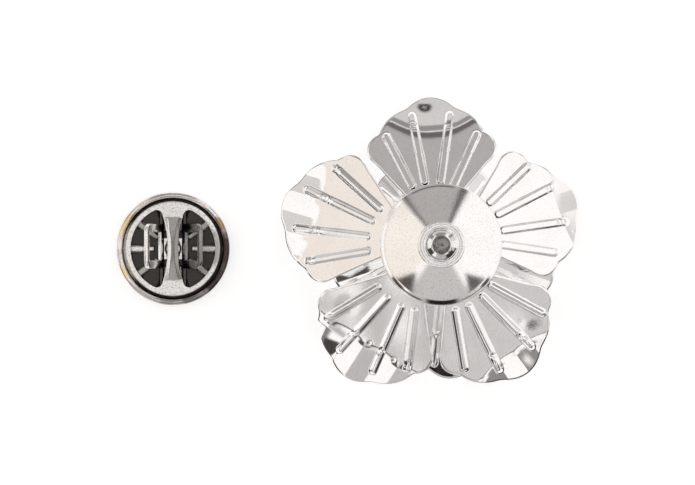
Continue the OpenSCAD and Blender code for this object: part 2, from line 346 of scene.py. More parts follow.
PETAL_PLATE = Plating(
    "petal_plate", tint=(0.96, 0.95, 0.942), stain=(0.66, 0.63, 0.615), stain_share=0.10, speck_share=0.24,
    roughness=0.09, roughness_spread=0.05, grain=Grain.DRAWN_OUT, grain_size=0.15, grain_height=0.003,
)
WASHER_PLATE = Plating(
    "washer_plate", tint=(0.96, 0.948, 0.938), stain=(0.64, 0.60, 0.58), stain_share=0.10, speck_share=0.46,
    roughness=0.08, roughness_spread=0.04, grain=Grain.BRUSHED_ROUND, grain_size=0.15, grain_height=0.0014,
)
POST_PLATE = Plating(
    "post_plate", tint=(0.92, 0.91, 0.90), stain=(0.50, 0.48, 0.47), stain_share=0.20, speck_share=0.60,
    roughness=0.10, roughness_spread=0.06, grain=Grain.ROLLED, grain_size=0.14, grain_height=0.009,
)
PIN_STEEL = Plating(
    "pin_steel", tint=(0.24, 0.228, 0.22), stain=(0.12, 0.11, 0.105), stain_share=0.50, speck_share=0.50,
    roughness=0.16, roughness_spread=0.08, grain=Grain.ROLLED, grain_size=0.20, grain_height=0.012,
)
# Painted reflection: a grey patch on the right. Painted shade on the foot and the bridge's valley.
SATIN = Plating(
    "clutch_satin", tint=(0.97, 0.955, 0.94), stain=(0.40, 0.38, 0.37), stain_share=0.08, speck_share=0.60,
    roughness=0.29, roughness_spread=0.12, grain=Grain.SANDY, grain_size=0.20, grain_height=0.052,
    middle=CLUTCH_MIDDLE, painted_reflections=((0, 26, (0.50, 0.48, 0.465)),),
    floor_z=(1.16, 1.28), lit_side=(184, 32), valley=(0.06, 0.060, 3.3),
)
# Painted reflections on the rim, cream on the left and near black on the right; painted shade low inside.
RIM_PLATE = Plating(
    "cup_plate", tint=(0.88, 0.83, 0.80), stain=(0.50, 0.46, 0.43), stain_share=0.40, speck_share=0.50,
    roughness=0.17, roughness_spread=0.10, grain=Grain.ROLLED, grain_size=0.20, grain_height=0.012,
    middle=CLUTCH_MIDDLE, floor_z=(0.95, 1.15), lit_side=(184, 32),
    painted_reflections=(
        (152, 14, (0.80, 0.64, 0.42)), (205, 12, (0.82, 0.68, 0.44)), (178, 8, (0.90, 0.83, 0.78)),
        (28, 10, (0.42, 0.30, 0.20)), (356, 30, (0.07, 0.052, 0.045)), (322, 24, (0.07, 0.058, 0.054)),
        (292, 14, (0.26, 0.235, 0.225)), (264, 16, (0.50, 0.46, 0.44)), (236, 14, (0.56, 0.53, 0.50)),
    ),
)
# Painted shade on the floor below the rays' tops, and off the strip along the middle line.
CUP_FLOOR = Plating(
    "cup_floor", tint=(0.92, 0.90, 0.88), stain=(0.26, 0.25, 0.24), stain_share=0.45, speck_share=0.50,
    roughness=0.22, roughness_spread=0.10, grain=Grain.SANDY, grain_size=0.18, grain_height=0.024,
    middle=CLUTCH_MIDDLE, floor_z=(0.37, 0.48), lit_half=2.9, shade=(0.055, 0.051, 0.048),
)
LIP_PLATE = Plating(
    "clutch_lip", tint=(0.95, 0.93, 0.905), stain=(0.70, 0.67, 0.65), stain_share=0.20, speck_share=0.50,
    roughness=0.26, roughness_spread=0.10, grain=Grain.SANDY, grain_size=0.14, grain_height=0.014,
    middle=CLUTCH_MIDDLE,
)
LIP_SHADED = replace(
    LIP_PLATE, name="clutch_lip_shaded", tint=(0.42, 0.40, 0.385), stain=(0.22, 0.21, 0.20),
    stain_share=0.40,
)
WING_PLATE = Plating(
    "wing_plate", tint=(0.93, 0.905, 0.88), stain=(0.52, 0.49, 0.46), stain_share=0.30, speck_share=0.50,
    roughness=0.17, roughness_spread=0.10, grain=Grain.ROLLED, grain_size=0.16, grain_height=0.012,
    middle=CLUTCH_MIDDLE,
)
WING_SHADED = replace(
    WING_PLATE, name="wing_shaded", tint=(0.30, 0.285, 0.275), stain=(0.14, 0.13, 0.12), stain_share=0.85,
    speck_share=0.60, roughness=0.15, grain_height=0.014,
)
# Painted shadow: the pivot bars are near black for the shade deep in the cup.
WING_PAINTED_SHADOW = replace(
    WING_PLATE, name="wing_painted_shadow", tint=(0.085, 0.080, 0.076), stain=(0.05, 0.047, 0.045), stain_share=0.50,
    roughness=0.20,
)


# Modelling tools


class Bench:
    """The modelling moves that the pieces share. Sizes go in as millimetres."""

    @staticmethod
    def clear() -> None:
        """Leaves edit mode and deselects everything."""
        if bpy.context.object and bpy.context.object.mode != "OBJECT":
            bpy.ops.object.mode_set(mode="OBJECT")
        bpy.ops.object.select_all(action="DESELECT")

    @staticmethod
    def edit(piece: bpy.types.Object) -> None:
        """Opens a piece in edit mode with all of it selected."""
        Bench.clear()
        bpy.context.view_layer.objects.active = piece
        piece.select_set(True)
        bpy.ops.object.mode_set(mode="EDIT")
        bpy.ops.mesh.select_all(action="SELECT")

    @staticmethod
    def wire(name: str, points: Sequence[Point]) -> bpy.types.Object:
        """Draws a profile in the XZ plane by extruding one vertex from point to point.

        Args:
            name: the new piece's name.
            points: radius and height of each point.

        Returns:
            The piece, still in edit mode with all of it selected.
        """
        Bench.clear()
        first = points[0]
        bpy.ops.mesh.primitive_plane_add(size=MM, location=(first[0] * MM, 0, first[1] * MM))
        piece = bpy.context.object
        piece.name = piece.data.name = name
        bpy.ops.object.transform_apply(location=True, rotation=True, scale=True)
        bpy.ops.object.mode_set(mode="EDIT")
        bpy.ops.mesh.select_mode(type="VERT")
        bpy.ops.mesh.select_all(action="SELECT")
        bpy.ops.mesh.merge(type="CENTER")
        for here, there in zip(points, points[1:]):
            step = ((there[0] - here[0]) * MM, 0, (there[1] - here[1]) * MM)
            bpy.ops.mesh.extrude_region_move(TRANSFORM_OT_translate={"value": step})
        bpy.ops.mesh.select_all(action="SELECT")
        return piece

    @staticmethod
    def spun(
        name: str,
        points: Sequence[Point],
        steps: int,
        axis_at: Point = (0.0, 0.0),
        sweep: tuple[float, float] = (0.0, 360.0),
        closed: bool = False,
    ) -> bpy.types.Object:
        """Spins a profile about an upright axis.

        Args:
            name: the new piece's name.
            points: radius and height of each point of the profile.
            steps: the steps of the spin.
            axis_at: where the axis stands.
            sweep: first and last angle of the spin, in degrees.
            closed: whether the profile is a ring.

        Returns:
            The spun piece, in object mode.
        """
        loop = [*points, points[0]] if closed else list(points)
        piece = Bench.wire(name, loop)
        bpy.ops.mesh.remove_doubles(threshold=MM / 1000)
        whole = abs(sweep[1] - sweep[0]) >= 360
        bpy.ops.mesh.spin(
            steps=steps, angle=math.radians(sweep[1] - sweep[0]), center=(0, 0, 0), axis=(0, 0, 1)
        )
        bpy.ops.mesh.select_all(action="SELECT")
        bpy.ops.mesh.remove_doubles(threshold=MM / 1000)
        if closed and not whole:
            bpy.ops.mesh.select_all(action="DESELECT")
            bpy.ops.mesh.select_non_manifold()
            bpy.ops.mesh.edge_face_add()
        Bench.outward(piece)
        Bench.clear()
        if whole:
            return Bench.turned(piece, 0, axis_at)
        facing = np.mean([vertex.co[:2] for vertex in piece.data.vertices], axis=0)
        off = (sweep[0] + sweep[1]) / 2 - math.degrees(math.atan2(facing[1], facing[0]))
        return Bench.turned(piece, off, axis_at)

    @staticmethod
    def outward(piece: bpy.types.Object) -> None:
        """Points the faces of a piece outwards."""
        Bench.edit(piece)
        bpy.ops.mesh.normals_make_consistent(inside=False)
        bpy.ops.object.mode_set(mode="OBJECT")

    @staticmethod
    def turned(piece: bpy.types.Object, degrees: float, place: Point) -> bpy.types.Object:
        """Turns a piece about the upright axis in its mesh, then moves that axis to a place."""
        Bench.reshape(piece, lambda p: Bench.turn(p, degrees) + np.array([*place, 0.0]))
        return piece

    @staticmethod
    def turn(points: np.ndarray, degrees: float) -> np.ndarray:
        """Turns points, rows of X, Y and Z, about the upright axis."""
        c, s = math.cos(math.radians(degrees)), math.sin(math.radians(degrees))
        return points @ np.array([[c, s, 0], [-s, c, 0], [0, 0, 1]])

    @staticmethod
    def reshape(piece: bpy.types.Object, shape: Callable[[np.ndarray], np.ndarray]) -> None:
        """Moves every vertex of a piece by a rule.

        Args:
            piece: the piece.
            shape: gives the new points, in millimetres, for the old ones.
        """
        data = piece.data
        points = np.empty(len(data.vertices) * 3)
        data.vertices.foreach_get("co", points)
        moved = shape(points.reshape(-1, 3) / MM) * MM
        data.vertices.foreach_set("co", moved.ravel())
        data.update()

    @staticmethod
    def slab(outline: Sequence[Point], low: float, thick: float) -> bpy.types.Object:
        """Makes a block: a filled circle drawn to an outline, then extruded upwards.

        Args:
            outline: its corners, in order.
            low: the height of its underside.
            thick: its thickness.

        Returns:
            The block.
        """
        Bench.clear()
        bpy.ops.mesh.primitive_circle_add(vertices=len(outline), radius=MM, fill_type="NGON")
        block = bpy.context.object
        corners = np.array([(x, y, low) for x, y in outline])
        Bench.reshape(block, lambda _: corners)
        Bench.edit(block)
        bpy.ops.mesh.extrude_region_move(TRANSFORM_OT_translate={"value": (0, 0, thick * MM)})
        Bench.outward(block)
        return block

    @staticmethod
    def modify(piece: bpy.types.Object, kind: str, **settings: Any) -> None:
        """Adds one modifier and applies it.

        Args:
            piece: the piece.
            kind: the modifier's type.
            settings: its properties.
        """
        Bench.clear()
        bpy.context.view_layer.objects.active = piece
        piece.select_set(True)
        modifier = piece.modifiers.new(kind.lower(), kind)
        for name, setting in settings.items():
            setattr(modifier, name, setting)
        bpy.ops.object.modifier_apply(modifier=modifier.name)

    @staticmethod
    def rounded_edges(piece: bpy.types.Object, width: float, segments: int = 2, angle: float = 35) -> None:
        """Rounds a piece's sharp edges.

        Args:
            piece: the piece.
            width: how much of each face the rounding takes.
            segments: faces across the rounding.
            angle: the least angle that is rounded.
        """
        Bench.modify(
            piece, "BEVEL", width=width * MM, segments=segments,
            limit_method="ANGLE", angle_limit=math.radians(angle),
        )

    @staticmethod
    def smooth(piece: bpy.types.Object, degrees: float) -> None:
        """Shades a piece smooth, except over sharp edges."""
        Bench.clear()
        bpy.context.view_layer.objects.active = piece
        piece.select_set(True)
        bpy.ops.object.shade_smooth_by_angle(angle=math.radians(degrees))
        Bench.clear()

    @staticmethod
    def arc(middle: Point, radius: float, start: float, end: float, count: int) -> list[Point]:
        """Gives a number of points along an arc, from its start angle to its end angle in degrees."""
        angles = np.radians(np.linspace(start, end, count))
        return [(middle[0] + radius * math.cos(a), middle[1] + radius * math.sin(a)) for a in angles]


@dataclass
class Piece:
    """Where a finished mesh belongs."""

    body: str
    replaces: str
    slot: str
    finish: Plating

    def place(self, obj: bpy.types.Object, smooth: float = 40) -> None:
        """Dresses a mesh and hands it to the frame.

        Args:
            obj: the finished mesh.
            smooth: the angle up to which edges are shaded smooth.
        """
        Bench.smooth(obj, smooth)
        obj.data.materials.clear()
        obj.data.materials.append(self.finish.material())
        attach(obj, self.body)
        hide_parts(self.replaces)
        LOG.info("%s: %d faces on %s", obj.name, len(obj.data.polygons), self.body)


# Petals


@dataclass(frozen=True)
class Petal:
    """One petal: its place round the post, and how it differs from its layer's plain petal.

    Slide, shift, length, drop, left and right are shares of the layer's sizes. The cross fold lies
    fold_out further out and bows by fold_bow. Facets is the height of the pleats beyond the fold, lean
    their place, and bend the fold's softness. Flanks are the widths of the ribs' two sides. Dents are
    (distance, side, size, depth), and curl is (distance, side, slope) of a corner that is bent down.
    """

    name: str
    turn: float
    slide: float = 1.0
    shift: float = 0.0
    length: float = 1.0
    drop: float = 1.0
    left: float = 0.0
    right: float = 0.0
    fold_out: float = 0.0
    fold_bow: float = 0.05
    facets: float = 0.10
    lean: float = 0.0
    bend: float = 0.10
    flanks: tuple[float, float] = (0.30, 0.30)
    mirrored: bool = False
    dents: tuple[tuple[float, float, float, float], ...] = ()
    curl: tuple[float, float, float] | None = None


@dataclass
class PetalLayer:
    """A stamped layer of petals, each a sheet with scalloped edge, raised ribs and a cross fold.

    Lobes are (distance back from the tip, side, radius), as shares of length, width and length. A
    petal's left and right draw its second pair of lobes out, along lobe_turn. Ribs are (angle from the
    middle line, end as a share of the length).
    """

    node: str
    top_z: float
    length: float
    width: float
    slide: float
    tilt: float
    root: float
    drop: float
    clear: float
    petals: tuple[Petal, ...]
    fold: float | None = None
    fold_share: float = 0.66
    sheet: float = 0.40
    rib_width: float = 0.75
    rib_height: float = 0.25
    rib_foot: float = 0.05
    rib_start: float = 0.36
    rib_nick: float = 0.5
    rib_nick_width: float = 0.25
    ribs: tuple[Point, ...] = ((9.5, 0.865), (26.0, 0.780))
    lobes: tuple[tuple[float, float, float], ...] = (
        (0.230, 0.0, 0.230), (0.382, 0.111, 0.303), (0.400, 0.378, 0.116),
    )
    lobe_turn: float = 41.0
    notch_soft: float = 0.14
    root_soft: float = 0.05
    pleat_share: float = 0.155
    pleat_run: float = 0.6
    buckle: float = 0.016
    curl_soft: float = 0.03
    edge_lip: float = 0.09
    edge_lip_width: float = 0.20
    disc_share: float = 0.56
    rings: int = 72
    steps: int = 440

    def outline(self, petal: Petal, middle: float, angles: np.ndarray) -> np.ndarray:
        """Finds how far the scalloped edge is from a point on the petal's middle line.

        Args:
            petal: the petal.
            middle: the point's distance from the root point.
            angles: the directions to look in.

        Returns:
            The distance in each direction.
        """
        length = self.length * petal.length
        ways = np.stack([np.cos(angles), np.sin(angles)], axis=1)
        reaches = []
        for index, (backset, side, radius) in enumerate(self.lobes):
            for sign in (1, -1):
                out = (petal.left if sign > 0 else petal.right) * self.width if index == 1 else 0.0
                turn = math.radians(self.lobe_turn)
                x = length * (1 - backset) + out * math.cos(turn) - middle
                y = sign * (self.width * side + out * math.sin(turn))
                along = ways @ np.array([x, y])
                inside = (length * radius) ** 2 - (x * x + y * y - along**2)
                reaches.append(np.where(inside > 0, along + np.sqrt(np.maximum(inside, 0)), 0))
        reaches.append(self.wedge_reach(length, middle, ways))
        return self.merged(np.array(reaches))

    def wedge_reach(self, length: float, middle: float, ways: np.ndarray) -> np.ndarray:
        """Finds the reach of the wedge between the root point and the two corner lobes.

        Args:
            length: the petal's length.
            middle: distance of the looking point from the root point.
            ways: unit directions.

        Returns:
            The wedge's reach in each direction.
        """
        backset, side, radius = self.lobes[2]
        x, y, r = length * (1 - backset), self.width * side, length * radius
        spread = math.degrees(math.atan2(y, x) + math.asin(r / math.hypot(x, y)))
        corner = Bench.arc((x, y), r, spread + 90, 0, 24)
        hull = [(0.0, 0.0), *corner, *[(px, -py) for px, py in reversed(corner)], (0.0, 0.0)]
        points = np.array(hull) - [middle, 0]
        reach = np.full(len(ways), np.inf)
        for here, there in zip(points, points[1:]):
            face = np.array([here[1] - there[1], there[0] - here[0]])
            towards, distance = ways @ face, face @ here
            ahead = towards > 1e-9
            reach = np.where(ahead, np.minimum(reach, distance / np.where(ahead, towards, 1)), reach)
        return reach

    def merged(self, reaches: np.ndarray) -> np.ndarray:
        """Takes the furthest of several reaches, a little less, with softened notches between them."""
        soft, top = self.notch_soft, reaches.max(axis=0)
        return top + soft * np.log(np.exp((reaches - top) / soft).sum(axis=0)) - soft * 0.3

    def relief(self, petal: Petal, x: np.ndarray, y: np.ndarray, edge: np.ndarray) -> np.ndarray:
        """Gives the sheet's height over the petal.

        Args:
            petal: the petal.
            x: distances from the post's axis along the petal's middle line.
            y: distances to the side of it.
            edge: distances from the scalloped edge.

        Returns:
            The heights, from the layer's top downwards.
        """
        slide, length = self.slide * petal.slide, self.length * petal.length
        reach = slide + length
        fold = self.fold or self.fold_share * reach
        tilt = math.tan(math.radians(self.tilt))
        steep = (self.drop * petal.drop - tilt * (fold - self.root)) / (reach - fold)
        crease = fold + petal.fold_out + petal.fold_bow * y**2
        beyond = self.eased(x - crease, petal.bend)
        height = -tilt * self.eased(x - self.root, self.root_soft) - (steep - tilt) * beyond
        pleats = np.abs((y / (self.pleat_share * self.width) + petal.lean) % 2 - 1) - 0.5
        height = height + petal.facets * pleats * np.clip(beyond / self.pleat_run, 0, 1)
        waves = np.sin(0.9 * y + 1.7 * petal.turn) * np.sin(0.7 * x + petal.turn)
        height = height + self.buckle * waves
        for dent_x, dent_y, size, depth in petal.dents:
            spot = ((x - dent_x) ** 2 + (y - dent_y) ** 2) / size**2
            height = height - depth * np.exp(-spot)
        if petal.curl:
            curl_x, curl_y, slope = petal.curl
            outward, aside = self.eased(x - curl_x, self.curl_soft), self.eased(curl_y - y, self.curl_soft)
            height = height - slope * outward * aside
        height = height + self.rib_relief(petal, fold, x, y)
        return height - self.edge_lip * np.clip(1 - edge / self.edge_lip_width, 0, 1) ** 2

    @staticmethod
    def eased(x: np.ndarray, soft: float) -> np.ndarray:
        """Is 0 below zero and x above it, with the corner rounded."""
        return soft * np.logaddexp(0, x / soft)

    def rib_relief(self, petal: Petal, fold: float, x: np.ndarray, y: np.ndarray) -> np.ndarray:
        """Gives the height of the raised ribs over the sheet.

        Args:
            petal: the petal.
            fold: distance of the cross fold from the post's axis.
            x: distances from the post's axis.
            y: distances to the side.

        Returns:
            The ribs' height.
        """
        slide, length = self.slide * petal.slide, self.length * petal.length
        start = max(self.rib_start, (self.clear + self.rib_width / 2 - slide) / length) * length
        half = self.rib_width / 2 + self.rib_foot
        raised = np.zeros_like(x)
        for fan, end in self.ribs:
            for sign in (1, -1):
                c, s = math.cos(math.radians(fan)), sign * math.sin(math.radians(fan))
                along = (x - slide) * c + y * s
                across = -(x - slide) * s + y * c
                past = np.maximum(start - along, along - end * length)
                inside = half - np.hypot(across, np.maximum(past, 0))
                right, left = petal.flanks[::-1] if petal.mirrored and sign < 0 else petal.flanks
                side = np.clip(across / half + 0.5, 0, 1)
                flank = right + (left - right) * side
                slope = np.clip(inside / flank, 0, 1)
                pressed = 1 - self.rib_nick * np.exp(-(((x - fold) / self.rib_nick_width) ** 2))
                raised = np.maximum(raised, self.rib_height * (1.15 * slope - 0.15 * slope**3) * pressed)
        return raised

    def build_petal(self, petal: Petal) -> None:
        """Makes one petal: a spun disc drawn out to the outline, raised to the relief and thickened.

        Args:
            petal: the petal.
        """
        middle = self.disc_share * self.length * petal.length
        slide = self.slide * petal.slide
        disc = Bench.spun(f"{self.node}_{petal.name}", [(i, 0) for i in range(self.rings + 1)], self.steps)

        def shape(points: np.ndarray) -> np.ndarray:
            """Draws the disc out to the petal."""
            angles = np.arctan2(points[:, 1], points[:, 0])
            share = np.hypot(points[:, 0], points[:, 1]) / self.rings
            reach = self.outline(petal, middle, angles)
            x = slide + middle + share * reach * np.cos(angles)
            y = share * reach * np.sin(angles)
            z = self.top_z + self.relief(petal, x, y, (1 - share) * reach)
            return np.stack([x, y + self.width * petal.shift, z], axis=1)

        Bench.reshape(disc, shape)
        Bench.turned(disc, petal.turn, (0, 0))
        self.face_up(disc)
        Bench.modify(disc, "SOLIDIFY", thickness=self.sheet * MM, offset=-1.0)
        Bench.rounded_edges(disc, 0.05, angle=50)
        Piece("root", self.node, "petal_plate", PETAL_PLATE).place(disc, smooth=50)

    @staticmethod
    def face_up(piece: bpy.types.Object) -> None:
        """Points an open sheet's faces upwards."""
        if sum(face.normal.z for face in piece.data.polygons[:50]) < 0:
            Bench.edit(piece)
            bpy.ops.mesh.flip_normals()
            bpy.ops.object.mode_set(mode="OBJECT")

    def build_middle(self, radius: float, hole: float) -> None:
        """Makes the cone that joins the petals round the post.

        Args:
            radius: the cone's radius.
            hole: the radius of its hole.
        """
        drop = math.tan(math.radians(self.tilt)) * (radius - self.root)
        top = [(hole, 0), (self.root, 0), (radius, -drop)]
        under = [(r, z - self.sheet) for r, z in reversed(top)]
        profile = [(r, z + self.top_z - 0.01) for r, z in top + under]
        cone = Bench.spun(f"{self.node}_middle", profile, 96, closed=True)
        Piece("root", self.node, "petal_plate", PETAL_PLATE).place(cone)

    def build(self, middle_radius: float, hole: float) -> None:
        """Makes the layer's petals and their middle.

        Args:
            middle_radius: the radius of the cone that joins the petals.
            hole: the radius of the hole for the post's shank.
        """
        for petal in self.petals:
            self.build_petal(petal)
        self.build_middle(middle_radius, hole)


# Washer, post, button


@dataclass
class Washer:
    """The shallow conical washer behind the petals, a little fuller than a plain cone."""

    top_z: float
    diameter: float = 12.4
    tilt: float = 10.5
    flat: float = 3.6
    sheet: float = 0.40
    hole: float = 0.82
    swell: float = 0.055
    edge: float = 0.13
    roll: float = 0.06
    roll_width: float = 0.60

    def build(self) -> None:
        """Spins the washer."""
        inner, outer = self.flat / 2, self.diameter / 2
        slope = math.tan(math.radians(self.tilt))
        radii = np.linspace(inner, outer - self.edge, 44)
        share = (radii - inner) / (outer - inner)
        heights = -slope * (radii - inner) + self.swell * np.sin(math.pi * share)
        heights = heights - self.roll * np.clip((radii - outer) / self.roll_width + 1, 0, 1) ** 2
        top = [(self.hole, 0.0), (inner - 0.25, 0.0), *zip(radii, heights)]
        low = heights[-1]
        rim = Bench.arc((outer - self.edge, low - self.edge), self.edge, 78, -60, 8)
        under = [(outer - 0.12, low - self.sheet), (inner, -self.sheet), (self.hole, -self.sheet)]
        profile = [(r, z + self.top_z) for r, z in [*top, *rim, *under]]
        cone = Bench.spun("washer", profile, 256, closed=True)
        Piece("root", "back_washer", "washer_plate", WASHER_PLATE).place(cone)


@dataclass
class Post:
    """The post: plated flange, dome and collar, with a steel pin on the same axis."""

    flange_z: float
    flange: float = 4.8
    flange_t: float = 0.35
    under_round: float = 0.12
    over_round: float = 0.14
    dome: float = 3.3
    dome_h: float = 0.75
    collar: float = 1.9
    pin: float = 1.15
    length: float = 7.6
    point: float = 0.9
    groove: float = 0.18
    groove_w: float = 0.6
    shank: float = 1.6
    shank_z: float = 3.9

    def build(self) -> None:
        """Spins the flange with its dome, and the pin that stands on it."""
        z0, r = self.flange_z, self.flange / 2
        top = z0 + self.flange_t
        profile: list[Point] = [(0, self.shank_z), (self.shank / 2, self.shank_z), (self.shank / 2, z0)]
        under, over = self.under_round, self.over_round
        profile += Bench.arc((r - under, z0 + under), under, -90, 0, 5)
        profile += Bench.arc((r - over, top - over), over, 0, 90, 6)
        rise = self.dome_h
        ball = (self.dome**2 / 4 + rise**2) / (2 * rise)
        start = math.degrees(math.acos(self.dome / 2 / ball))
        profile += [(self.dome / 2 + 0.30, top), (self.dome / 2 + 0.10, top - 0.03)]
        neck = math.degrees(math.acos(self.collar / 2 / ball))
        profile += Bench.arc((0, top + rise - ball), ball, start, neck, 12)
        foot = profile[-1][1]
        pin_r, tip = self.pin / 2, top + rise + self.length
        bend = [(self.collar / 2 - 0.02, foot + 0.06)]
        for share in np.linspace(0, 1, 7):
            spread = (self.collar / 2 - 0.10 - pin_r) * (1 - math.sin(share * math.pi / 2))
            bend.append((pin_r + spread, foot + 0.12 + share * self.dome_h))
        base = Bench.spun("post_and_flange", [*profile, (0, foot)], 128)
        Piece("root", "post", "post_plate", POST_PLATE).place(base, smooth=50)
        profile = [(0, foot - 0.2), (self.collar / 2 - 0.04, foot - 0.2), *bend]
        low = tip - self.point - self.groove_w - 0.1
        for share in np.linspace(0, math.pi, 9):
            deep = self.groove * math.sin(share)
            profile.append((pin_r - deep, low + self.groove_w * share / math.pi))
        profile += [(pin_r, tip - self.point - 0.05), (pin_r - 0.03, tip - self.point)]
        profile += [(pin_r * 0.8, tip - self.point + 0.22), (pin_r * 0.42, tip - 0.22)]
        profile += [(pin_r * 0.2, tip - 0.03), (0, tip)]
        pin = Bench.spun("post_pin", profile, 128)
        Piece("root", "post", "post_plate", PIN_STEEL).place(pin, smooth=50)


@dataclass
class FrontButton:
    """The plain button in the middle of the hidden front."""

    height: float = 5.0
    diameter: float = 5.2
    face: float = 3.4
    neck: float = 2.2

    def build(self) -> None:
        """Spins the button."""
        r, h = self.diameter / 2, self.height
        profile: list[Point] = [(0, 0), (self.face / 2, 0)]
        profile += [(self.face / 2 + 0.25, 0.02), (r - 0.22, 0.14 * h), (r - 0.04, 0.22 * h)]
        profile += [(r, 0.30 * h), (r - 0.03, 0.42 * h), (0.82 * r, 0.58 * h)]
        profile += [(self.neck / 2 + 0.05, 0.71 * h), (self.neck / 2, 0.74 * h)]
        profile += [(self.neck / 2, h - 0.03), (0, h - 0.03)]
        knob = Bench.spun("front_button_dressed", profile, 96)
        Bench.rounded_edges(knob, 0.04)
        Piece("root", "front_button", "petal_plate", PETAL_PLATE).place(knob)


# Clutch


@dataclass
class ClutchCup:
    """The clutch's cup: floor with hole and star rays, wall and rolled rim."""

    diameter: float = 11.5
    roll: float = 0.64
    roll_z: float = 1.15
    floor: float = 0.35
    hole: float = 1.3
    rays: int = 10
    ray_height: float = 0.175
    ray_half: float = 0.30
    ray_widening: float = 0.08
    ray_steep: float = 1.8
    ray_in: float = 1.9

    def build(self) -> None:
        """Makes the floor and the rolled rim."""
        roll_r = (self.diameter - self.roll) / 2
        half = self.roll / 2
        inner = roll_r - half
        radii = [self.hole / 2, *np.linspace(self.ray_in - 0.1, inner - 0.05, 40)]
        top = [(r, self.floor) for r in radii]
        under = [(inner, 0.0), (self.hole / 2 + 0.05, 0.0), (self.hole / 2, 0.05)]
        floor = Bench.spun("cup_floor", top + under, 360, CLUTCH_MIDDLE, closed=True)
        Bench.reshape(floor, self.rayed)
        Piece("root", "clutch_cup", "cup_plate", CUP_FLOOR).place(floor, smooth=30)
        rim = [(roll_r - 0.12, 0.0), *Bench.arc((roll_r, 0.12), 0.12, -90, 0, 4)]
        rim += [(roll_r + 0.08, 0.55), *Bench.arc((roll_r, self.roll_z), half, -60, 210, 22)]
        rim += [(inner, self.roll_z - 0.35), (inner, self.floor), (inner, 0.0)]
        ring = Bench.spun("cup_rolled_rim", rim, 256, CLUTCH_MIDDLE, closed=True)
        Bench.reshape(ring, self.worn)
        Piece("root", "clutch_cup", "cup_plate", RIM_PLATE).place(ring)

    def rayed(self, points: np.ndarray) -> np.ndarray:
        """Raises the star rays on the floor."""
        x, y = points[:, 0] - CLUTCH_X, points[:, 1] - CLUTCH_Y
        radius, turn = np.hypot(x, y), np.degrees(np.arctan2(y, x))
        step = 360 / self.rays
        off = np.abs((turn + step / 2) % step - step / 2)
        across = radius * np.radians(off)
        half = self.ray_half + self.ray_widening * (radius - self.ray_in)
        ridge = np.clip(self.ray_steep * (1 - across / half), 0, 1) * (radius > self.ray_in)
        top = points[:, 2] > self.floor - 0.01
        raised = points.copy()
        raised[:, 2] += np.where(top, self.ray_height * ridge, 0)
        return raised

    def worn(self, points: np.ndarray) -> np.ndarray:
        """Gives the rolled rim the slight dents of a rolled edge."""
        x, y = points[:, 0] - CLUTCH_X, points[:, 1] - CLUTCH_Y
        turn = np.arctan2(y, x)
        dent = 0.012 * np.sin(7 * turn + 0.6) + 0.008 * np.sin(17 * turn)
        worn = points.copy()
        worn[:, 2] += np.where(points[:, 2] > self.roll_z, dent - 0.02, 0)
        return worn


